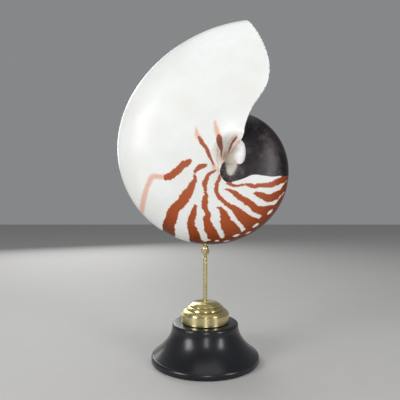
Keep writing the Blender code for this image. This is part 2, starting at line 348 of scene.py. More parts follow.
def divided_box(name, divisions):
    """A cube from 0 to 1, divided evenly each way."""
    deselect_all()
    bpy.ops.mesh.primitive_cube_add(size=1.0, location=(0.5, 0.5, 0.5))
    box = name_piece(name)
    edit_all(box)
    for axis, parts in enumerate(divisions):
        select_only(box, "EDGE", lambda edge: runs_along(edge, axis))
        bpy.ops.mesh.subdivide(number_cuts=parts - 1)
    leave_edit()
    return box


def hollow(name, start_turn, end_turn, divisions, end_is_septum=True):
    chamber = divided_box(name, divisions)
    for vertex in chamber.data.vertices:
        across, around, along = (round(value, 5) for value in vertex.co)
        start = septum_turn(start_turn, across, around, 1)
        end = septum_turn(end_turn, across, around, -1) if end_is_septum else end_turn
        turn = start + (end - start) * along
        vertex.co = place(turn, *hollow_point(turn, across, around))
    recalculate_normals(chamber)
    return chamber


OPEN_CHAMBER_DIVISIONS = (14, 34, 120)
LARGE_CHAMBERS = 10
CHAMBER_STEPS = [21 * DEGREE] * 25 + [30 * DEGREE] * 6 + [75 * DEGREE]

recalculate_normals(shell)
open_chamber = hollow("open_chamber", LAST_SEPTUM_TURN, MOUTH_CUTTER_END, OPEN_CHAMBER_DIVISIONS, False)
chambers = []
end = LAST_SEPTUM_TURN
for number, step in enumerate(CHAMBER_STEPS):
    divisions = (14, 14, 8 if number < LARGE_CHAMBERS else 4)
    chambers.append(hollow(f"chamber_{number:02d}", end - step, end, divisions))
    end -= step
print(len(chambers), "closed chambers, the smallest at", round(outer_radius(end) / MM, 1), "mm from the axis")

# %% [markdown]
# A thin tube, the siphon, once ran through the middle of every septum and let water out of the chambers.
# The saw went along it, so each septum has half a hole there and half of a short neck behind it. They are
# cylinders laid along the coil, cut in half by a bisect on the sawn plane, and joined or cut in one go.

# %% The siphon's necks
SIPHON_ACROSS = 0.42
SIPHON_SHARE = 0.016
SIPHON_LEAST = 0.3 * MM
NECK_COUNT = 16
NECK_THICKNESS, NECK_LENGTH, HOLE_LENGTH = 1.5, 3.4, 6.0
SIPHON_SHIFT = -1.2
UNDER_SAWN_FACE = 0.03 * MM


def along_siphon(name, thickness, length, halved):
    """A cylinder through each septum, its thickness and length given in radii of the siphon."""
    cylinders = []
    end = LAST_SEPTUM_TURN
    for step in CHAMBER_STEPS[:NECK_COUNT]:
        turn = septum_turn(end, SIPHON_ACROSS, 0.0, 0)
        radius = max(SIPHON_LEAST, SIPHON_SHARE * outer_radius(turn))
        forward = Vector((-math.sin(turn), 0.0, -math.cos(turn)))
        shift = forward * SIPHON_SHIFT * radius
        deselect_all()
        bpy.ops.mesh.primitive_cylinder_add(
            vertices=20, radius=thickness * radius, depth=length * radius, rotation=(0.0, turn, 0.0),
            location=place(turn, hollow_point(turn, SIPHON_ACROSS, 0.0).x, 0.0) + shift,
        )
        cylinders.append(name_piece(name))
        end -= step
    whole = join(cylinders)
    if halved:
        edit_all(whole)
        bpy.ops.mesh.bisect(
            plane_co=(0.0, SAWN_FACE_Y - UNDER_SAWN_FACE, 0.0), plane_no=(0.0, 1.0, 0.0), use_fill=True,
            clear_outer=True,
        )
        leave_edit()
    recalculate_normals(whole)
    return whole


widest_neck = 2 * NECK_THICKNESS * SIPHON_SHARE * outer_radius(LAST_SEPTUM_TURN)
print(NECK_COUNT, "septa have a neck, the widest", round(widest_neck / MM, 1), "mm across")

# %% [markdown]
# The callus is the pearly lump that plugs the umbilicus: a white lobe at the mouth's edge, and a thinner,
# greyer one that runs down into the pit. Two stretched spheres joined to the coil give both. Then all the
# cuts follow, each by a Boolean that is applied at once, and last comes the hole for the rod.

# %% The callus, and the cuts
LOBE_PLACES = {
    "callus_film": (6.1, 13.5, 0.7, (5.8, 6.5, 12.5), 26),
    "callus_pearl": (9.2, 15.8, 3.1, (4.5, 5.4, 9.6), 4),
}
CALLUS_LOBES = {
    name: (
        place(0.0, out * MM, depth * MM) + Vector((0.0, 0.0, up)) * MM, Vector(half_size) * MM, lean * DEGREE,
    )
    for name, (out, depth, up, half_size, lean) in LOBE_PLACES.items()
}
ROD_RADIUS = 1.5 * MM
BORE_RADIUS = ROD_RADIUS + 0.12 * MM


def callus_lobe(name):
    centre, half_size, lean = CALLUS_LOBES[name]
    deselect_all()
    bpy.ops.mesh.primitive_uv_sphere_add(
        segments=48, ring_count=32, radius=1.0, location=centre, rotation=(0.0, lean, 0.0), scale=half_size,
    )
    return name_piece(name)


closed_chambers = join(chambers)
boolean(shell, open_chamber, "DIFFERENCE")
for name in CALLUS_LOBES:
    boolean(shell, callus_lobe(name), "UNION")
boolean(shell, closed_chambers, "DIFFERENCE")
boolean(shell, along_siphon("siphon_necks", NECK_THICKNESS, NECK_LENGTH, True), "UNION")
boolean(shell, along_siphon("siphon_holes", 1.0, HOLE_LENGTH, False), "DIFFERENCE")
deselect_all()
bpy.ops.mesh.primitive_cylinder_add(vertices=48, radius=BORE_RADIUS, depth=12 * MM, location=(0.0, 0.0, 84 * MM))
boolean(shell, name_piece("rod_hole"), "DIFFERENCE")
print("the shell has", len(shell.data.polygons), "faces")

# %% [markdown]
# A Boolean keeps no note of which face came from which surface, so the faces are told apart by their
# place: what looks to +Y on the sawn plane was sawn, what lies on the outside's own rule is outside, and
# what is left is the pearly inside. Each kind gets its own material.

# %% Telling the faces apart
SAME_SURFACE = 0.12 * MM
PAST_KEEL = 1.02
KEEL_SLACK = 0.02
CALLUS_SLACK = 0.02
FLOOR_START_TURN = 256 * DEGREE
RIM_REACH = 1.5 * DEGREE
OUTSIDE, NACRE, SAWN, CALLUS = range(4)


def coil_place(point):
    """(turn, share, out, depth) of a point, with the turn counted from where the outside starts."""
    across, up = point.x - COIL_X, COIL_Z - point.z
    out = math.hypot(across, up)
    turn = math.atan2(up, across)
    if turn < OUTSIDE_START_TURN:
        turn += WHOLE_TURN
    return turn, out / outer_radius(turn), out, SAWN_FACE_Y - point.y


def on_surface(turn, share, out, depth):
    """Whether a place is on the coil's outside, with more slack near the keel, where that is steep."""
    off = abs(section_point(turn, min(share, 1.0)).y - depth)
    return share <= PAST_KEEL and off < SAME_SURFACE + KEEL_SLACK * out * share**6


def on_outside(point):
    return on_surface(*coil_place(point))


def on_whorl_inside(point):
    """Whether the point is on the open chamber's floor, which is the outside of the whorl inside."""
    turn, _, out, depth = coil_place(point)
    inner_turn = turn - WHOLE_TURN
    return turn >= FLOOR_START_TURN and on_surface(inner_turn, out / outer_radius(inner_turn), out, depth)


def callus_level(point):
    """1 on the callus, less inside it."""
    levels = []
    for centre, half_size, lean in CALLUS_LOBES.values():
        off = point - centre
        cosine, sine = math.cos(lean), math.sin(lean)
        local = (off.x * cosine - off.z * sine, off.y, off.x * sine + off.z * cosine)
        levels.append(math.sqrt(sum((value / half) ** 2 for value, half in zip(local, half_size))))
    return min(levels)


def on_rim(polygon):
    """Whether the face is on the mouth's edge, where the wall ends."""
    turn, share, out, depth = coil_place(polygon.center)
    forward = Vector((-math.sin(turn), 0.0, -math.cos(turn)))
    return abs(turn - mouth_turn(share)) < RIM_REACH and polygon.normal.dot(forward) > 0.5


def kind_of(polygon, vertices):
    if polygon.normal.y > 0.95 and abs(polygon.center.y - SAWN_FACE_Y) < SAME_SURFACE:
        return SAWN
    corners = [vertices[index].co for index in polygon.vertices]
    if all(abs(callus_level(corner) - 1) < CALLUS_SLACK for corner in corners):
        return CALLUS
    if on_rim(polygon) or all(on_outside(corner) or on_whorl_inside(corner) for corner in corners):
        return OUTSIDE
    return NACRE


counts = [0, 0, 0, 0]
for polygon in shell.data.polygons:
    polygon.material_index = kind_of(polygon, shell.data.vertices)
    counts[polygon.material_index] += 1
print("outside, pearly, sawn and callus faces:", counts)

# %% [markdown]
# The stand is turned work: brass and black wood cut on a lathe, where every edge is a circle. A Screw
# modifier on an outline gives that too. Here a circle is extruded from point to point of the outline and
# resized at each, as a potter's ring grows, and the last ring is welded to the first.

# %% A lathe made of extrusions
def arc(centre, radius, start, end, steps):
    """Points (radius, height) along an arc, its angles counted from +X."""
    return [
        (
            centre[0] + radius * math.cos(start + (end - start) * step / steps),
            centre[1] + radius * math.sin(start + (end - start) * step / steps),
        )
        for step in range(steps + 1)
    ]


WELD = 0.002 * MM


def turned(name, outline, sides):
    """A turned ring: its outline runs up the bore, out over the top, down the outside and back."""
    start_radius, start_height = outline[0]
    deselect_all()
    bpy.ops.mesh.primitive_circle_add(vertices=sides, radius=start_radius, location=(0.0, 0.0, start_height))
    piece = name_piece(name)
    edit_all(piece)
    for (radius, height), (next_radius, next_height) in zip(outline, outline[1:] + outline[:1]):
        step = {"value": (0.0, 0.0, next_height - height)}
        bpy.ops.mesh.extrude_region_move(TRANSFORM_OT_translate=step)
        factor = next_radius / radius
        bpy.ops.transform.resize(value=(factor, factor, 1.0), center_override=(0.0, 0.0, next_height))
    bpy.ops.mesh.select_all(action="SELECT")
    bpy.ops.mesh.remove_doubles(threshold=WELD)
    bpy.ops.mesh.normals_make_consistent(inside=False)
    leave_edit()
    return piece


print("a quarter of a circle in 4 steps has", len(arc((0, 0), 1, 0, math.pi / 2, 4)), "points")

# %% [markdown]
# The base is black wood: a broad foot with a rounded rim, a waist that sweeps up, and a flat top with an
# eased edge. The rod goes into a hole in its middle.

# %% The black base
SIDES = 128
base_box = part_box("base")
BASE_TOP_Z = base_box[1][2]
FOOT_RADIUS = base_box[1][0]
NECK_RADIUS = 24.0 * MM
NECK_TOP_Z = 24.6 * MM
FOOT_TOP = (37.65 * MM, 4.5 * MM)
FLARE_POWER = 1.9
FLARE_STEPS = 28
BORE_EASE = 0.3 * MM
TOP_ROUND = 1.9 * MM
RIM_ROUND = 2.0 * MM
RIM_HEIGHT = 2.65 * MM
FOOT_ROUND = 0.8 * MM

flare = []
for step in range(FLARE_STEPS + 1):
    share = step / FLARE_STEPS
    radius = NECK_RADIUS + (FOOT_TOP[0] - NECK_RADIUS) * share**FLARE_POWER
    flare.append((radius, NECK_TOP_Z - (NECK_TOP_Z - FOOT_TOP[1]) * share))
bore = [(BORE_RADIUS, 0.0), (BORE_RADIUS, BASE_TOP_Z - BORE_EASE), (BORE_RADIUS + BORE_EASE, BASE_TOP_Z)]
top_edge = arc((NECK_RADIUS - TOP_ROUND, BASE_TOP_Z - TOP_ROUND), TOP_ROUND, math.pi / 2, 0.35, 6)
rim = arc((FOOT_RADIUS - RIM_ROUND, RIM_HEIGHT), RIM_ROUND, 1.2, 0.0, 8)
foot = arc((FOOT_RADIUS - FOOT_ROUND, FOOT_ROUND), FOOT_ROUND, 0.0, -math.pi / 2, 5)
base = turned("turned_base", bore + top_edge + flare + rim + foot, SIDES)
print("the base is", round(2 * FOOT_RADIUS / MM, 1), "mm across and", round(BASE_TOP_Z / MM, 1), "mm high")

# %% [markdown]
# The brass cap sits on the base. It is a drum with two round steps over it and a flat disc on top, all
# turned from one bar, with a fine groove where each step starts.

# %% The brass cap
cap_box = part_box("brass_cap")
CAP_FOOT_Z, CAP_TOP_Z = cap_box[0][2], cap_box[1][2]
DRUM_RADIUS = cap_box[1][0]
DRUM_TOP_Z = 33.5 * MM
DISC_RADIUS = 9.1 * MM
LIP = [(11.05 * MM, 39.7 * MM), (11.2 * MM, 39.5 * MM), (11.2 * MM, 39.15 * MM), (10.95 * MM, 38.9 * MM)]
UPPER_BEAD = (10.8 * MM, 38.7 * MM), (13.6 * MM, 36.7 * MM)
LOWER_BEAD = (13.2 * MM, 36.4 * MM), (16.9 * MM, 33.8 * MM)
BEAD_SWELL = 0.42 * MM
BEAD_STEPS = 10
GROOVE = 0.22 * MM
BEVEL = 0.25 * MM


def bead(top, foot):
    """A shallow round from its top edge out and down to its foot, with a groove under it."""
    points = []
    for step in range(BEAD_STEPS + 1):
        share = step / BEAD_STEPS
        swell = BEAD_SWELL * 4 * share * (1 - share)
        points.append(tuple(start + (end - start) * share + swell for start, end in zip(top, foot)))
    return points + [(foot[0] - GROOVE, foot[1] - GROOVE / 2), (foot[0] - GROOVE, foot[1] - GROOVE)]


cap_outline = [(BORE_RADIUS, CAP_FOOT_Z), (BORE_RADIUS, CAP_TOP_Z - BEVEL), (BORE_RADIUS + BEVEL, CAP_TOP_Z)]
cap_outline += [(DISC_RADIUS - BEVEL, CAP_TOP_Z), (DISC_RADIUS, CAP_TOP_Z - BEVEL / 2), *LIP]
cap_outline += bead(*UPPER_BEAD) + bead(*LOWER_BEAD)
cap_outline += [(DRUM_RADIUS - BEVEL, DRUM_TOP_Z), (DRUM_RADIUS, DRUM_TOP_Z - BEVEL)]
cap_outline += [(DRUM_RADIUS, CAP_FOOT_Z + BEVEL), (DRUM_RADIUS - BEVEL, CAP_FOOT_Z)]
cap = turned("turned_brass_cap", cap_outline, SIDES)
print("the cap is", round(2 * DRUM_RADIUS / MM, 1), "mm across")

# %% [markdown]
# The rod is plain from the cap up and threaded where the nuts sit. The thread is a ridge that climbs
# round the rod: a triangle carried up a helix by a Screw modifier, joined to the plain rod.

# %% The rod and its thread
rod_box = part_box("rod")
ROD_FOOT_Z, ROD_TIP_Z = rod_box[0][2], rod_box[1][2]
THREAD_PITCH = 0.5 * MM
THREAD_DEPTH = 0.27 * MM
THREAD_START_Z = 73.6 * MM
RIDGE_START = 0.15 * MM
RIDGE_HALF_FOOT = 0.23 * MM
RIDGE_SUNK = 0.1 * MM
TIP_BEVEL = 0.35 * MM
CORE_RADIUS = ROD_RADIUS - THREAD_DEPTH


def turned_rod():
    deselect_all()
    bpy.ops.mesh.primitive_cylinder_add(
        vertices=48, radius=ROD_RADIUS, depth=THREAD_START_Z - ROD_FOOT_Z,
        location=(0.0, 0.0, (THREAD_START_Z + ROD_FOOT_Z) / 2),
    )
    rod = name_piece("threaded_rod")
    edit_all(rod)
    select_only(rod, "FACE", lambda face: face.normal.z > 0.9)
    core_length = ROD_TIP_Z - TIP_BEVEL - THREAD_START_Z - THREAD_DEPTH
    rises = [(CORE_RADIUS, THREAD_DEPTH), (CORE_RADIUS, core_length), (CORE_RADIUS - TIP_BEVEL, TIP_BEVEL)]
    radius, height = ROD_RADIUS, THREAD_START_Z
    for next_radius, rise in rises:
        height += rise
        bpy.ops.mesh.extrude_region_move(TRANSFORM_OT_translate={"value": (0.0, 0.0, rise)})
        factor = next_radius / radius
        bpy.ops.transform.resize(value=(factor, factor, 1.0), center_override=(0.0, 0.0, height))
        radius = next_radius
    leave_edit()
    return rod


def thread_ridge():
    """A triangle at +X, its flat side sunk in the rod's core, carried up the rod."""
    deselect_all()
    bpy.ops.mesh.primitive_circle_add(vertices=3, radius=1.0, fill_type="NGON", rotation=(math.pi / 2, 0.0, 0.0))
    ridge = name_piece("thread_ridge")
    sunk = CORE_RADIUS - RIDGE_SUNK
    corners = [(ROD_RADIUS, 0.0), (sunk, RIDGE_HALF_FOOT), (sunk, -RIDGE_HALF_FOOT)]
    for vertex, (across, up) in zip(ridge.data.vertices, corners):
        vertex.co = (across, 0.0, THREAD_START_Z + RIDGE_START + up)
    turns = int((ROD_TIP_Z - TIP_BEVEL - THREAD_START_Z) / THREAD_PITCH) - 1
    screw = ridge.modifiers.new("Thread", "SCREW")
    screw.axis = "Z"
    screw.angle = WHOLE_TURN
    screw.screw_offset = THREAD_PITCH
    screw.iterations = turns
    screw.steps = 24
    screw.render_steps = 24
    screw.use_merge_vertices = False
    apply_all(ridge)
    edit_all(ridge)
    bpy.ops.mesh.remove_doubles(threshold=WELD)
    bpy.ops.mesh.select_mode(type="EDGE")
    bpy.ops.mesh.select_all(action="DESELECT")
    bpy.ops.mesh.select_non_manifold()
    bpy.ops.mesh.fill()
    leave_edit()
    recalculate_normals(ridge)
    return ridge, turns


rod = turned_rod()
ridge, turns = thread_ridge()
print("the ridge has", len(ridge.data.polygons), "faces over", turns, "turns")
boolean(rod, ridge, "UNION")
print("the rod has", len(rod.data.polygons), "faces")

# %% [markdown]
# Two hexagon nuts hold the shell between them, one under it and one inside. A nut's corners are turned
# off before it is cut, so it is a six-sided prism kept only where a round blank with sloping edges was.

# %% The two nuts
NUT_ACROSS_FLATS = 5.5 * MM
NUT_HEIGHT = 3.5 * MM
NUT_TURNED = 12 * DEGREE
CORNER_RADIUS = NUT_ACROSS_FLATS / 2 / math.cos(30 * DEGREE)
CORNER_CLEARANCE = 0.1 * MM
FLAT_EASE = 0.05 * MM
BLANK_SLOPE = 0.38 * MM
SHOULDER = [(2.4 * MM, 0.0), (2.3 * MM, 0.25 * MM), (1.8 * MM, 2.15 * MM), (1.65 * MM, 2.3 * MM)]
NUT_HOLE_RADIUS = ROD_RADIUS - 0.05 * MM


def nut(name, foot, shoulder):
    """The nut on the rod, and the tapered collar above it where there is one."""
    deselect_all()
    bpy.ops.mesh.primitive_cylinder_add(
        vertices=6, radius=CORNER_RADIUS, depth=NUT_HEIGHT, location=(0.0, 0.0, foot + NUT_HEIGHT / 2),
        rotation=(0.0, 0.0, NUT_TURNED),
    )
    piece = name_piece(name)
    top = foot + NUT_HEIGHT
    eased = NUT_ACROSS_FLATS / 2 - FLAT_EASE
    corner = CORNER_RADIUS + CORNER_CLEARANCE
    blank = [
        (NUT_HOLE_RADIUS, foot - MM), (NUT_HOLE_RADIUS, top + MM), (eased, top + 0.001 * MM),
        (corner, top - BLANK_SLOPE), (corner, foot + BLANK_SLOPE), (eased, foot - 0.001 * MM),
    ]
    boolean(piece, turned(name + "_blank", blank, 64), "INTERSECT")
    if shoulder:
        collar = [(NUT_HOLE_RADIUS, top - MM), (NUT_HOLE_RADIUS, top + SHOULDER[-1][1])]
        collar += [(radius, top + height) for radius, height in reversed(SHOULDER)]
        collar.append((SHOULDER[0][0], top - 0.5 * MM))
        boolean(piece, turned(name + "_collar", collar, 64), "UNION")
    return piece


lower_nut = nut("nut_under_shell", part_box("lower_nut")[0][2], True)
inner_nut = nut("nut_inside_shell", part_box("inner_nut")[0][2], False)
print("each nut is", NUT_ACROSS_FLATS / MM, "mm across its flats")

# %% [markdown]
# Booleans leave points that nearly meet, and slivers between them, which show as flecks once a surface is
# shaded smooth. They are welded and dissolved first. The finer shell also bulges a hair past the packed
# model's flat facets, so it is made narrower by that hair.

# %% Cleaning and shading each mesh
SLIVER = 0.001 * MM
SHARP_ANGLE = 32 * DEGREE


def finish_piece(piece):
    """Welds doubles, drops faces of no size, and shades smooth except at sharp edges."""
    edit_all(piece)
    bpy.ops.mesh.remove_doubles(threshold=SLIVER)
    bpy.ops.mesh.dissolve_degenerate(threshold=SLIVER)
    leave_edit()
    bpy.ops.object.shade_smooth_by_angle(angle=SHARP_ANGLE)


sides = [vertex.co.x for vertex in shell.data.vertices]
left_fit = (COIL_X - cad_box[0][0]) / (COIL_X - min(sides))
right_fit = (cad_box[1][0] - COIL_X) / (max(sides) - COIL_X)
fit = min(1.0, left_fit, right_fit)
for vertex in shell.data.vertices:
    vertex.co.x = COIL_X + (vertex.co.x - COIL_X) * fit
print("the shell is made", round(fit, 5), "as wide, to stay in the packed model's box")
for piece in (shell, base, cap, rod, lower_nut, inner_nut):
    finish_piece(piece)
    print(piece.name, len(piece.data.polygons), "faces")

# %% [markdown]
# A nautilus is striped rust brown over the older part of its coil, and white towards the mouth. Each
# stripe is a brush stroke that starts thin near the umbilicus and grows wider towards the keel, where they
# merge. An image would blur, and a wave pattern would be too even, so each stroke is a line of points:
# a turn in degrees, a share of the radius and the stroke's width in millimetres.

# %% The stripes, stroke by stroke
STRIPES = {
    "nearest_mouth": [
        (174, 0.31, 0.8), (172, 0.33, 3.3), (168, 0.40, 4.7), (164, 0.46, 4.8), (161, 0.53, 4.9), (161, 0.575, 4.4),
    ],
    "second": [
        (157, 0.20, 0.8), (157, 0.215, 2.2), (158, 0.24, 3.2), (158, 0.28, 3.2), (155, 0.32, 2.1), (150, 0.345, 1.3),
        (144, 0.38, 3.0), (140, 0.44, 4.7), (138, 0.49, 5.6), (136, 0.57, 7.3), (135, 0.64, 7.0), (135, 0.71, 7.1),
        (134, 0.77, 8.0), (132, 0.83, 8.5), (131, 0.89, 8.8), (129, 0.94, 9.4), (127, 1.0, 10.5),
    ],
    "short_low": [
        (124, 0.58, 0.8), (122, 0.61, 2.6), (121, 0.65, 4.0), (120, 0.70, 4.6), (119, 0.76, 5.0), (117, 0.81, 5.7),
        (114, 0.86, 7.0), (112, 0.91, 8.1), (110, 0.95, 9.6), (108, 1.0, 11.0),
    ],
    "third": [
        (129, 0.18, 1.2), (133, 0.21, 1.8), (136, 0.235, 2.1), (134, 0.27, 2.7), (132, 0.31, 3.3), (129, 0.35, 3.3),
        (124, 0.39, 2.2), (120, 0.43, 2.0), (118, 0.45, 2.8), (117, 0.49, 4.1), (115, 0.55, 4.2), (111, 0.60, 3.4),
        (108, 0.64, 4.0), (108, 0.69, 5.2), (106, 0.74, 5.6), (104, 0.79, 6.4), (101, 0.84, 7.8), (99, 0.90, 8.6),
        (96, 0.96, 9.0),
    ],
    "fourth": [
        (112, 0.20, 0.9), (110, 0.23, 2.2), (110, 0.28, 2.6), (110, 0.33, 2.6), (107, 0.385, 2.6), (103, 0.42, 2.9),
        (98, 0.46, 2.8), (92, 0.51, 3.0), (87, 0.55, 3.2), (83, 0.585, 4.0), (79, 0.64, 5.4), (76, 0.70, 7.0),
        (73, 0.77, 8.4), (70, 0.84, 10.0), (66, 0.92, 12.0),
    ],
    "wedge_low": [
        (100, 0.555, 0.9), (96, 0.58, 3.0), (93, 0.63, 5.0), (91, 0.69, 6.8), (90, 0.75, 8.6), (87, 0.81, 10.4),
        (85, 0.87, 12.0), (84, 0.95, 13.0),
    ],
    "fifth": [
        (95, 0.35, 0.8), (91, 0.36, 1.2), (83, 0.395, 2.1), (76, 0.445, 3.5), (71, 0.51, 4.1), (66, 0.58, 4.3),
        (62, 0.66, 4.9), (60, 0.73, 5.3), (57, 0.79, 6.0), (53, 0.85, 7.4), (48, 0.92, 8.5),
    ],
    "wedge_right": [
        (53, 0.57, 0.8), (50, 0.60, 2.5), (48, 0.65, 4.5), (46, 0.70, 4.9), (44, 0.76, 5.4), (40, 0.82, 6.3),
        (36, 0.86, 6.3), (32, 0.91, 6.2), (27, 0.94, 6.4), (23, 0.97, 6.6), (19, 1.0, 6.6),
    ],
    "last": [
        (92, 0.285, 0.8), (84, 0.31, 2.2), (74, 0.35, 1.9), (65, 0.375, 1.7), (56, 0.41, 1.7), (50, 0.46, 2.7),
        (46, 0.52, 3.3), (40, 0.57, 2.7), (36, 0.63, 3.2), (31, 0.71, 3.9), (27, 0.77, 4.3), (22, 0.84, 4.6),
        (19, 0.90, 5.0), (15, 0.96, 5.0), (12, 1.0, 5.0),
    ],
    "keel": [
        (100, 1.0, 18.0), (97, 1.0, 22.0), (92, 1.0, 23.4), (78, 1.0, 24.4), (68, 1.0, 26.0), (61, 1.0, 28.0),
        (55, 1.0, 26.5), (47, 1.0, 24.0), (39, 1.0, 20.0), (31, 1.0, 13.5), (25, 1.0, 8.0), (20, 1.0, 4.0),
    ],
    "upper_left": [
        (145, 0.146, 0.9), (158, 0.146, 1.4), (171, 0.148, 1.9), (183, 0.156, 2.2), (194, 0.173, 2.4),
        (202, 0.198, 2.5), (206, 0.226, 2.6), (210, 0.252, 2.6), (212, 0.268, 1.8),
    ],
    "upper_middle": [
        (168, 0.047, 0.8), (196, 0.044, 1.4), (221, 0.057, 1.8), (234, 0.069, 2.1), (236, 0.084, 3.0),
        (237, 0.104, 3.5), (240, 0.131, 3.8), (243, 0.148, 3.4),
    ],
    "upper_middle_thin": [(167, 0.079, 0.6), (186, 0.079, 0.8), (206, 0.086, 0.8), (218, 0.104, 0.6)],
    "upper_right": [
        (293, 0.027, 0.4), (290, 0.042, 0.9), (290, 0.054, 1.2), (289, 0.069, 1.4), (289, 0.082, 1.5),
        (292, 0.091, 1.5), (294, 0.104, 1.6), (296, 0.114, 1.2),
    ],
}
WHITE_GAPS = {
    "under_rod": [(107, 0.93, 1.0), (104, 0.94, 2.0), (101, 0.935, 1.6)],
    "oval_1": [(97, 0.95, 0.8), (96, 0.95, 2.3), (95, 0.95, 0.8)],
    "oval_2": [(91, 0.965, 0.6), (89, 0.967, 1.9), (87, 0.967, 0.6)],
    "oval_3": [(84.5, 0.93, 0.8), (82, 0.93, 2.5), (79.5, 0.93, 0.8)],
    "oval_4": [(75, 0.96, 0.6), (73, 0.957, 2.0), (71, 0.955, 0.6)],
    "oval_5": [(68.5, 0.918, 0.8), (65.5, 0.922, 3.0), (62.5, 0.93, 0.8)],
    "oval_6": [(52.5, 0.91, 0.8), (50, 0.915, 3.0), (46.5, 0.93, 0.8)],
    "rim_line": [(45, 0.86, 2.0), (40, 0.885, 1.2), (36, 0.912, 1.0), (32, 0.94, 0.9), (29, 0.96, 0.6)],
}
FADED = {
    "nearest_mouth_tail": [
        (161, 0.56, 4.4), (163, 0.62, 4.2), (165, 0.69, 4.4), (161, 0.76, 4.4), (155, 0.85, 5.0), (148, 0.98, 5.4),
    ],
    "upper_left_tip": [(205, 0.22, 2.8), (210, 0.256, 3.6), (214, 0.288, 3.8), (218, 0.312, 2.8), (221, 0.33, 1.8)],
    "upper_middle_tip": [
        (243, 0.14, 4.0), (244, 0.17, 4.0), (245, 0.193, 4.0), (247, 0.228, 3.2), (249, 0.262, 1.8),
    ],
    "upper_middle_root": [(178, 0.094, 2.0), (159, 0.096, 2.5), (140, 0.111, 2.0)],
    "upper_right_halo": [(312, 0.049, 1.6), (312, 0.067, 2.2), (311, 0.084, 2.2), (310, 0.099, 1.8)],
    "upper_right_left_halo": [
        (276, 0.077, 1.3), (280, 0.091, 1.7), (285, 0.106, 1.8), (290, 0.119, 1.8), (297, 0.123, 1.5),
    ],
    "between_upper_strokes": [(266, 0.042, 2.8), (228, 0.025, 3.5), (160, 0.035, 2.1)],
    "beside_pit": [(139, 0.109, 1.6), (128, 0.146, 2.2), (119, 0.18, 2.0)],
    "umbilicus_left": [(157, 0.141, 2.4), (142, 0.158, 3.0), (134, 0.185, 2.0)],
}
CALLUS_VEIL = {
    "under_callus": [(5, 0.114, 7.0), (44, 0.101, 8.4), (66, 0.131, 7.9), (75, 0.165, 6.2), (77, 0.193, 3.8)],
}
STROKE_STEP = 0.35 * MM
THINNEST_STROKE = 0.1
PLACES_AT_ONCE = 1000


def stroke_samples(points):
    """(place, half width) all along a stroke, from a smooth curve through its points."""
    corners = [place(turn * DEGREE, *section_point(turn * DEGREE, share)) for turn, share, _ in points]
    along = [0.0]
    for before, after in zip(corners, corners[1:]):
        along.append(along[-1] + (after - before).length)
    columns = [list(zip(along, values)) for values in zip(*points)]
    samples = []
    for step in range(math.ceil(along[-1] / STROKE_STEP) + 1):
        turn, share, width = (through(column, step * STROKE_STEP) for column in columns)
        spot = place(turn * DEGREE, *section_point(turn * DEGREE, min(share, 1.0)))
        samples.append((*spot, max(width, THINNEST_STROKE) * MM / 2))
    return samples


def distance_to(strokes, places):
    """In millimetres, from each place to the nearest stroke's edge, less than 0 inside a stroke."""
    samples = np.array([sample for points in strokes.values() for sample in stroke_samples(points)])
    nearest = np.empty(len(places))
    for start in range(0, len(places), PLACES_AT_ONCE):
        some = slice(start, start + PLACES_AT_ONCE)
        offsets = places[some, None, :] - samples[None, :, :3]
        reach = np.sqrt((offsets**2).sum(axis=2)) - samples[:, 3]
        nearest[some] = reach.min(axis=1)
    return nearest / MM


print(len(STRIPES), "stripes,", len(WHITE_GAPS), "white gaps in them and", len(FADED), "faded strokes")

# %% [markdown]
# A black film covers the part of the coil that the animal's hood lay on. Its edge is a turn for each share
# of the radius: it follows the mouth's right side down and ends in the umbilicus. Growth lines run the way
# the mouth's edge does, so each point also keeps the turn at which the growing edge passed it.

# %% Writing the markings on the shell's points
FILM_EDGE = [
    (0.0, 60), (0.03, 90), (0.06, 121), (0.12, 121), (0.16, 118), (0.20, 110), (0.24, 102), (0.28, 90), (0.31, 67),
    (0.34, 53), (0.37, 44), (0.41, 35), (0.48, 29), (0.58, 25), (0.70, 22), (0.81, 18), (0.91, 16), (1.0, 13),
]
FILM_START_TURN = -98 * DEGREE


def add_attribute(piece, name, kind, values):
    field = piece.data.attributes.new(name, kind, "POINT")
    field.data.foreach_set("vector" if kind == "FLOAT_VECTOR" else "value", np.ravel(values))


spots = np.array([vertex.co for vertex in shell.data.vertices])
coil = np.array([coil_place(vertex.co) for vertex in shell.data.vertices])
for row, vertex in zip(coil, shell.data.vertices):
    if on_whorl_inside(vertex.co):
        row[0] -= WHOLE_TURN
        row[1] = row[2] / outer_radius(row[0])
shares = np.minimum(coil[:, 1], 1.0)
edge_turns = np.array([mouth_turn(share) for share in shares]) - mouth_turn(1.0)
film_turns = np.array([through(FILM_EDGE, share) for share in shares]) * DEGREE
past_film = np.maximum(coil[:, 0] - film_turns, FILM_START_TURN - coil[:, 0])
film = past_film * np.maximum(coil[:, 2], 2 * MM) / MM
stripe = np.maximum(distance_to(STRIPES, spots), -distance_to(WHITE_GAPS, spots))
faded = distance_to(FADED, spots)
veil = distance_to(CALLUS_VEIL, spots)
markings = {"stripe": stripe, "faded": faded, "film": film, "veil": veil}
for name, values in markings.items():
    add_attribute(shell, name, "FLOAT", values)
growth = np.stack([coil[:, 0] - edge_turns, shares, coil[:, 0]], axis=1)
add_attribute(shell, "growth", "FLOAT_VECTOR", growth)
print(int((stripe < 0).sum()), "points are brown and", int((film < 0).sum()), "black")

# %% [markdown]
# The finishes are node trees. A few helpers keep each one short: one adds a node and joins its inputs, one
# mixes two colours, one remaps a value, and one reads noise. Colours are given as they look on a screen,
# from 0 to 255, and are turned into the linear light that the shader works in.

# %% Helpers for the finishes
def colour(red, green, blue):
    linear = []
    for value in (red / 255, green / 255, blue / 255):
        linear.append(value / 12.92 if value <= 0.04045 else ((value + 0.055) / 1.055) ** 2.4)
    return (*linear, 1.0)


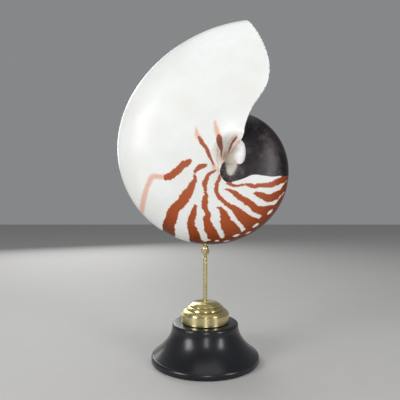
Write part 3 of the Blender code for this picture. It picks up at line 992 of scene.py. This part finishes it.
def new_finish(name, base, roughness, **others):
    """A material, its tree and its shader, with the values that are the same all over."""
    finish = bpy.data.materials.new(name)
    finish.use_nodes = True
    shader = finish.node_tree.nodes["Principled BSDF"]
    shader.inputs["Base Color"].default_value = base
    shader.inputs["Roughness"].default_value = roughness
    for key, value in others.items():
        shader.inputs[key.replace("_", " ")].default_value = value
    return finish, finish.node_tree, shader


def connect(tree, value, socket):
    if isinstance(value, bpy.types.NodeSocket):
        tree.links.new(value, socket)
    else:
        socket.default_value = value


def read(tree, name, output="Fac"):
    """An attribute that was written on the piece's points."""
    made = tree.nodes.new("ShaderNodeAttribute")
    made.attribute_name = name
    return made.outputs[output]


def place_on_piece(tree):
    return tree.nodes.new("ShaderNodeTexCoord").outputs["Object"]


def scaled(tree, vector, scale):
    made = tree.nodes.new("ShaderNodeMapping")
    made.inputs["Scale"].default_value = scale
    connect(tree, vector, made.inputs["Vector"])
    return made.outputs["Vector"]


def noise(tree, vector, scale, detail=3.0, roughness=0.55):
    made = tree.nodes.new("ShaderNodeTexNoise")
    made.inputs["Scale"].default_value = scale
    made.inputs["Detail"].default_value = detail
    made.inputs["Roughness"].default_value = roughness
    connect(tree, vector, made.inputs["Vector"])
    return made.outputs["Fac"]


def maths(tree, operation, first, second=0.0):
    made = tree.nodes.new("ShaderNodeMath")
    made.operation = operation
    connect(tree, first, made.inputs[0])
    connect(tree, second, made.inputs[1])
    return made.outputs[0]


def vector_maths(tree, operation, first, second=(0.0, 0.0, 0.0)):
    made = tree.nodes.new("ShaderNodeVectorMath")
    made.operation = operation
    connect(tree, first, made.inputs[0])
    connect(tree, second, made.inputs[1])
    return made.outputs["Value" if operation == "LENGTH" else "Vector"]


def swing(tree, waves, reach):
    """Noise made to go as far below 0 as above it."""
    return maths(tree, "MULTIPLY", maths(tree, "SUBTRACT", waves, 0.5), reach)


def remap(tree, value, low, high, to_low=0.0, to_high=1.0):
    made = tree.nodes.new("ShaderNodeMapRange")
    made.interpolation_type = "SMOOTHSTEP"
    for key, number in zip(("From Min", "From Max", "To Min", "To Max"), (low, high, to_low, to_high)):
        made.inputs[key].default_value = number
    connect(tree, value, made.inputs["Value"])
    return made.outputs["Result"]


def mix(tree, factor, first, second):
    """Two colours mixed."""
    made = tree.nodes.new("ShaderNodeMix")
    made.data_type = "RGBA"
    connect(tree, factor, made.inputs["Factor"])
    connect(tree, first, made.inputs[6])
    connect(tree, second, made.inputs[7])
    return made.outputs[2]


def mix_values(tree, factor, first, second):
    made = tree.nodes.new("ShaderNodeMix")
    connect(tree, factor, made.inputs["Factor"])
    connect(tree, first, made.inputs[2])
    connect(tree, second, made.inputs[3])
    return made.outputs[0]


def ramp(tree, value, stops):
    """A colour for each value, from a list of (value, colour)."""
    made = tree.nodes.new("ShaderNodeValToRGB")
    band = made.color_ramp
    band.elements[0].position, band.elements[0].color = stops[0]
    band.elements[1].position, band.elements[1].color = stops[-1]
    for position, shade in stops[1:-1]:
        band.elements.new(position).color = shade
    connect(tree, value, made.inputs["Fac"])
    return made.outputs["Color"]


def split(tree, vector, axis):
    made = tree.nodes.new("ShaderNodeSeparateXYZ")
    connect(tree, vector, made.inputs[0])
    return made.outputs[axis]


def bump(tree, shader, height, strength, distance):
    made = tree.nodes.new("ShaderNodeBump")
    made.inputs["Strength"].default_value = strength
    made.inputs["Distance"].default_value = distance
    connect(tree, height, made.inputs["Height"])
    connect(tree, made.outputs["Normal"], shader.inputs["Normal"])


print("dark brown is", [round(value, 3) for value in colour(120, 52, 18)[:3]], "in linear light")

# %% [markdown]
# The outside is like porcelain: white, smooth and faintly banded by growth, with the brown stripes and the
# black film in it, not on it. The stripes' edges are toothed, as they formed line by line, so a noise that
# is stretched along the growth lines is added to the distance before it is cut off into a mask.

# %% The outside's finish
def outside_finish():
    finish, tree, shader = new_finish(
        "shell_outside", colour(235, 236, 233), 0.34, Specular_IOR_Level=0.28, Coat_Weight=0.05, Coat_Roughness=0.2,
    )
    growth_place = read(tree, "growth", "Vector")
    share = split(tree, growth_place, "Y")
    teeth = noise(tree, scaled(tree, growth_place, (7.0, 40.0, 0.0)), 1.0, 3.0, 0.65)
    wander = noise(tree, place_on_piece(tree), 260.0, 3.0)
    ragged = maths(tree, "ADD", swing(tree, teeth, 3.2), swing(tree, wander, 0.9))
    ragged = maths(tree, "MULTIPLY", ragged, remap(tree, share, 0.1, 0.3, 0.3, 1.0))
    stripe = maths(tree, "ADD", read(tree, "stripe"), ragged)

    lines = noise(tree, scaled(tree, growth_place, (48.0, 2.2, 0.0)), 1.0, 3.0)
    clouds = noise(tree, place_on_piece(tree), 38.0, 2.0)
    white = mix(tree, remap(tree, clouds, 0.35, 0.7), colour(236, 238, 237), colour(230, 231, 227))
    white = mix(tree, remap(tree, lines, 0.45, 0.8, 0.0, 0.25), white, colour(224, 224, 217))
    # Painted light: towards the pit the white is raised to almost pure white, to lift the shade that falls into the
    # funnel.
    white = mix(tree, remap(tree, share, 0.17, 0.12), white, colour(255, 253, 248))
    # Towards the middle of the pit the white turns beige-pink: partly the umbilicus's own tint, partly painted shade
    # of the hollow.
    white = mix(tree, remap(tree, share, 0.12, 0.03, 0.0, 0.5), white, colour(214, 190, 176))
    halo = remap(tree, stripe, 0.9, 0.1, 0.0, 0.32)
    white = mix(tree, halo, white, colour(238, 200, 160))

    # The brown deepens towards the keel: partly the stripes' own darker brown, partly painted shade where the keel
    # turns away from the light.
    brown = ramp(tree, share, [
        (0.05, colour(158, 112, 106)), (0.1, colour(150, 86, 74)), (0.2, colour(166, 90, 66)),
        (0.5, colour(172, 86, 50)), (0.78, colour(160, 72, 30)), (0.9, colour(138, 56, 14)),
        (0.96, colour(104, 44, 10)), (1.0, colour(70, 34, 10)),
    ])
    streaks = noise(tree, scaled(tree, growth_place, (40.0, 6.0, 0.0)), 1.0, 4.0)
    brown = mix(tree, remap(tree, streaks, 0.45, 0.75, 0.0, 0.25), brown, colour(190, 104, 66))
    faded = maths(tree, "ADD", read(tree, "faded"), swing(tree, wander, 1.6))
    faded = remap(tree, faded, 0.7, -1.5, 0.0, 0.72)
    body = mix(tree, faded, white, colour(224, 158, 126))
    stripe_mask = remap(tree, stripe, 0.1, -0.1)
    body = mix(tree, stripe_mask, body, brown)

    film_edge = maths(tree, "ADD", read(tree, "film"), swing(tree, wander, 0.8))
    film_mask = remap(tree, film_edge, 0.12, -0.12)
    mottle = noise(tree, place_on_piece(tree), 120.0, 6.0, 0.7)
    along_growth = noise(tree, scaled(tree, growth_place, (160.0, 18.0, 0.0)), 1.0, 5.0, 0.7)
    across_growth = noise(tree, scaled(tree, growth_place, (12.0, 130.0, 0.0)), 1.0, 4.0, 0.7)
    scratches = maths(tree, "MAXIMUM", along_growth, across_growth)
    turn = split(tree, growth_place, "Z")
    black = mix(tree, remap(tree, mottle, 0.42, 0.66), colour(34, 28, 31), colour(80, 66, 70))
    black = mix(tree, remap(tree, scratches, 0.6, 0.8, 0.0, 0.6), black, colour(136, 124, 128))
    # Painted shade: the black film is made darker towards the mouth's top and towards the keel, where it catches
    # less light.
    painted_shade_top_and_keel = maths(tree, "MAXIMUM", remap(tree, turn, -18 * DEGREE, -52 * DEGREE), remap(tree, share, 0.72, 0.94))
    black = mix(tree, maths(tree, "MULTIPLY", painted_shade_top_and_keel, 0.85), black, colour(12, 11, 13))
    veil = maths(tree, "ADD", read(tree, "veil"), swing(tree, wander, 1.5))
    black = mix(tree, remap(tree, veil, 1.0, -1.6), black, colour(194, 191, 180))
    connect(tree, mix(tree, film_mask, body, black), shader.inputs["Base Color"])

    film_gloss = remap(tree, mottle, 0.35, 0.7, 0.16, 0.36)
    white_gloss = remap(tree, clouds, 0.3, 0.7, 0.26, 0.36)
    connect(tree, mix_values(tree, film_mask, white_gloss, film_gloss), shader.inputs["Roughness"])
    film_bumps = maths(tree, "MULTIPLY", maths(tree, "ADD", mottle, scratches), film_mask)
    film_bumps = maths(tree, "MULTIPLY", film_bumps, 2.0)
    bump(tree, shader, maths(tree, "ADD", lines, film_bumps), 0.22, 0.25 * MM)
    return finish


print("the outside reads", ", ".join(markings), "and growth from the shell's points")

# %% [markdown]
# Inside, the wall and the septa are mother-of-pearl: thin layers that colour the light by interference.
# The shader's own thin film gives that, and pale bands of pink and green follow the growth lines, painted in
# the colour as a sheen for the same interference. The sawn edge is dull and layered. The callus is a clean
# white at the mouth and turns grey away from it, partly where it thins out over the black film and partly
# as painted shade, which also darkens its lower part.


# %% The pearl, the sawn edge and the callus
def pearl_finish():
    finish, tree, shader = new_finish(
        "mother_of_pearl", colour(232, 222, 208), 0.24, Coat_Weight=0.5, Coat_Roughness=0.12,
        Thin_Film_Thickness=430.0, Thin_Film_IOR=1.55, Metallic=0.12,
    )
    spot = place_on_piece(tree)
    bands = noise(tree, scaled(tree, read(tree, "growth", "Vector"), (16.0, 7.0, 0.0)), 1.0, 4.0, 0.6)
    # The pink and green bands are partly painted sheen: they stand for colours that nacre shows by interference.
    pearl = ramp(tree, bands, [
        (0.3, colour(250, 218, 208)), (0.42, colour(220, 238, 216)), (0.5, colour(240, 220, 244)),
        (0.58, colour(206, 230, 234)), (0.7, colour(250, 236, 206)),
    ])
    depth = noise(tree, spot, 60.0, 3.0)
    pearl = mix(tree, remap(tree, depth, 0.4, 0.75, 0.0, 0.4), pearl, colour(214, 196, 176))
    connect(tree, pearl, shader.inputs["Base Color"])
    connect(tree, remap(tree, depth, 0.3, 0.7, 0.18, 0.34), shader.inputs["Roughness"])
    bump(tree, shader, bands, 0.12, 0.2 * MM)
    return finish


def sawn_finish():
    finish, tree, shader = new_finish("sawn_edge", colour(228, 224, 214), 0.55)
    spot = place_on_piece(tree)
    layers = noise(tree, scaled(tree, spot, (900.0, 0.0, 900.0)), 1.0, 3.0)
    marks = noise(tree, scaled(tree, spot, (500.0, 0.0, 8000.0)), 0.25, 2.0)
    edge = mix(tree, remap(tree, layers, 0.4, 0.65), colour(236, 232, 224), colour(210, 202, 188))
    edge = mix(tree, remap(tree, marks, 0.5, 0.8, 0.0, 0.3), edge, colour(190, 180, 164))
    connect(tree, edge, shader.inputs["Base Color"])
    connect(tree, remap(tree, marks, 0.3, 0.7, 0.45, 0.7), shader.inputs["Roughness"])
    bump(tree, shader, marks, 0.3, 0.1 * MM)
    return finish


def callus_finish():
    """White at the mouth; grey to beige into the pit, partly thinning and partly painted shade, darker lower down.
    """
    finish, tree, shader = new_finish(
        "callus_pearl", colour(246, 245, 246), 0.2, Coat_Weight=0.6, Coat_Roughness=0.08,
    )
    spot = place_on_piece(tree)
    cloud = noise(tree, spot, 190.0, 3.0)
    centre, half_size, _ = CALLUS_LOBES["callus_pearl"]
    off = vector_maths(tree, "DIVIDE", vector_maths(tree, "SUBTRACT", spot, centre), half_size)
    level = maths(tree, "ADD", vector_maths(tree, "LENGTH", off), maths(tree, "MULTIPLY", cloud, 0.2))
    height = split(tree, spot, "Z")
    pale = mix(tree, remap(tree, cloud, 0.4, 0.65), colour(252, 251, 252), colour(244, 243, 240))
    # Painted shade: the grey part goes darker towards the bottom, and its grey stands partly for shade, partly for
    # the callus thinning over the film.
    thinned_and_shaded = mix(tree, remap(tree, height, 147 * MM, 137 * MM), colour(216, 211, 196), colour(178, 174, 158))
    connect(tree, mix(tree, remap(tree, level, 1.1, 1.24), pale, thinned_and_shaded), shader.inputs["Base Color"])
    connect(tree, remap(tree, cloud, 0.3, 0.7, 0.14, 0.26), shader.inputs["Roughness"])
    bump(tree, shader, cloud, 0.1, 0.3 * MM)
    return finish


for made in (outside_finish(), pearl_finish(), sawn_finish(), callus_finish()):
    shell.data.materials.append(made)
print("the shell has", len(shell.data.materials), "finishes")

# %% [markdown]
# The brass was turned on a lathe, which leaves rings too fine to model. A noise that knows only the height
# and the distance from the axis is the same all the way round, and draws them. Handled brass also goes
# darker in places, by a slower noise. The cap's rings stretch its reflections, so its shader is anisotropic.

# %% The brass and the black lacquer
def axis_distance(tree, spot):
    return vector_maths(tree, "LENGTH", vector_maths(tree, "MULTIPLY", spot, (1.0, 1.0, 0.0)))


def turned_lines(tree, spot, per_metre):
    """Noise that is the same all the way round the axis, as a lathe leaves it."""
    line_place = tree.nodes.new("ShaderNodeCombineXYZ")
    connect(tree, axis_distance(tree, spot), line_place.inputs[0])
    connect(tree, split(tree, spot, "Z"), line_place.inputs[1])
    return noise(tree, line_place.outputs[0], per_metre, 3.0, 0.7)


def brass_finish(name, lines_per_metre, line_strength, **others):
    finish, tree, shader = new_finish(name, colour(200, 184, 126), 0.32, Metallic=1.0, **others)
    spot = place_on_piece(tree)
    lines = turned_lines(tree, spot, lines_per_metre)
    patina = noise(tree, spot, 90.0, 4.0)
    metal = mix(tree, remap(tree, patina, 0.42, 0.72), colour(222, 210, 158), colour(184, 168, 110))
    metal = mix(tree, remap(tree, lines, 0.5, 0.75, 0.0, 0.45), metal, colour(122, 104, 56))
    connect(tree, metal, shader.inputs["Base Color"])
    connect(tree, remap(tree, patina, 0.3, 0.7, 0.24, 0.34), shader.inputs["Roughness"])
    bump(tree, shader, lines, line_strength, 0.03 * MM)
    return finish


def lacquer_finish():
    """Black lacquer on turned wood: deep and smooth, with faint rings and a few specks of dust."""
    finish, tree, shader = new_finish(
        "black_lacquer", colour(18, 19, 24), 0.4, Coat_Weight=0.8, Coat_Roughness=0.24, Specular_IOR_Level=0.12,
    )
    spot = place_on_piece(tree)
    rings = turned_lines(tree, spot, 900.0)
    dust = noise(tree, spot, 700.0, 4.0, 0.7)
    cloud = noise(tree, spot, 45.0, 3.0)
    black = mix(tree, remap(tree, cloud, 0.35, 0.7), colour(8, 9, 14), colour(15, 17, 24))
    black = mix(tree, remap(tree, dust, 0.66, 0.8, 0.0, 0.3), black, colour(80, 80, 86))
    connect(tree, black, shader.inputs["Base Color"])
    connect(tree, remap(tree, cloud, 0.3, 0.7, 0.4, 0.52), shader.inputs["Roughness"])
    bump(tree, shader, rings, 0.1, 0.05 * MM)
    return finish


def give_finish(piece, finish):
    piece.data.materials.clear()
    piece.data.materials.append(finish)


give_finish(base, lacquer_finish())
give_finish(cap, brass_finish("turned_brass", 2600.0, 0.2, Anisotropic=0.8, Anisotropic_Rotation=0.25))
drawn_brass = brass_finish("drawn_brass", 1500.0, 0.15)
for piece in (rod, lower_nut, inner_nut):
    give_finish(piece, drawn_brass)
print("the stand has", len({piece.data.materials[0].name for piece in (base, cap, rod, lower_nut)}), "finishes")

# %% [markdown]
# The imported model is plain, and these pieces are what is seen in its place. Every piece rides on the one
# body that the object has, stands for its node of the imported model, and says which material it shows.

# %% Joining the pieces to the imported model
PIECES = [
    (shell, "shell_half", "shell"), (base, "base", "black_lacquer"), (cap, "brass_cap", "brass"),
    (rod, "rod", "brass"), (lower_nut, "lower_nut", "brass"), (inner_nut, "inner_nut", "brass"),
]
for piece, node, slot in PIECES:
    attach(piece, "root")
    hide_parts(node)
print(len(PIECES), "pieces replace", len(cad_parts), "nodes")

# %% [markdown]
# The studio is plain: a pale floor, a pale grey surround, and three tall soft boxes in front, whose
# reflections stand as upright bands on the brass and the lacquer. Two more light the top and the sawn face.
# Blender's usual view of light softens strong colours, so the picture is shown plainly, as the Standard
# view does.

# %% The floor and the light
FLOOR_SIZE = 4.0
FLOOR_Z = -0.2 * MM
LIT_POINT = Vector((0.0, 0.0, 120.0)) * MM
SOFT_BOXES = {
    "left": ((-0.60, -0.42, 0.34), (0.24, 0.42), 2.9),
    "front": ((0.05, -0.9, 0.32), (0.12, 0.6), 2.0),
    "right": ((0.56, -0.46, 0.3), (0.13, 0.4), 1.7),
    "above": ((0.05, 0.0, 0.75), (0.6, 0.5), 0.9),
    "behind": ((-0.3, 0.66, 0.4), (0.5, 0.5), 2.4),
}
SURROUND_STRENGTH = 0.5


def floor_finish():
    finish, tree, shader = new_finish("pale_floor", colour(192, 191, 189), 0.7)
    clouds = noise(tree, place_on_piece(tree), 40.0)
    connect(tree, mix(tree, clouds, colour(194, 193, 191), colour(189, 188, 186)), shader.inputs["Base Color"])
    return finish


def soft_box(name, location, size, power):
    """A lit rectangle that faces the object."""
    deselect_all()
    bpy.ops.object.light_add(type="AREA", location=location)
    lamp = bpy.context.active_object
    lamp.name = name
    lamp.data.shape = "RECTANGLE"
    lamp.data.size, lamp.data.size_y = size
    lamp.data.energy = power
    lamp.rotation_euler = (LIT_POINT - Vector(location)).to_track_quat("-Z", "Y").to_euler()


deselect_all()
bpy.ops.mesh.primitive_plane_add(size=FLOOR_SIZE, location=(0.0, 0.0, FLOOR_Z))
floor = name_piece("floor")
give_finish(floor, floor_finish())
floor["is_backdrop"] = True
for name, (location, size, power) in SOFT_BOXES.items():
    soft_box("soft_box_" + name, location, size, power)
world = bpy.data.worlds.new("studio")
world.use_nodes = True
surround = world.node_tree.nodes["Background"]
surround.inputs["Color"].default_value = colour(184, 185, 187)
surround.inputs["Strength"].default_value = SURROUND_STRENGTH
bpy.context.scene.world = world
bpy.context.scene.view_settings.view_transform = "Standard"
print(len(SOFT_BOXES), "soft boxes light the object")

# %% [markdown]
# The camera looks level, so that upright edges stay upright in the picture, and its frame is shifted a
# little to bring the top and the foot in. It was placed by matching the shell's and the base's outlines.

# %% The camera
CAMERA_PLACE = (-3.8 * MM, -292.0 * MM, 111.9 * MM)
deselect_all()
bpy.ops.object.camera_add(location=CAMERA_PLACE, rotation=(math.pi / 2, 0.0, 0.0))
camera = bpy.context.active_object
camera.name = "camera"
camera.data.lens = 36.0
camera.data.sensor_width = 36.0
camera.data.shift_y = 0.0125
camera.data.clip_start = 0.01
bpy.context.scene.camera = camera
print("the camera is", round(-CAMERA_PLACE[1] / MM), "mm in front of the rod")

# %% [markdown]
# Last, the dressed object is measured again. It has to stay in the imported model's box, so both boxes are
# written down side by side.

# %% The sizes, and the end
dressed_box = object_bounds()
for name, box in (("packed", cad_box), ("dressed", dressed_box)):
    print(name, [[round(value / MM, 2) for value in corner] for corner in box])
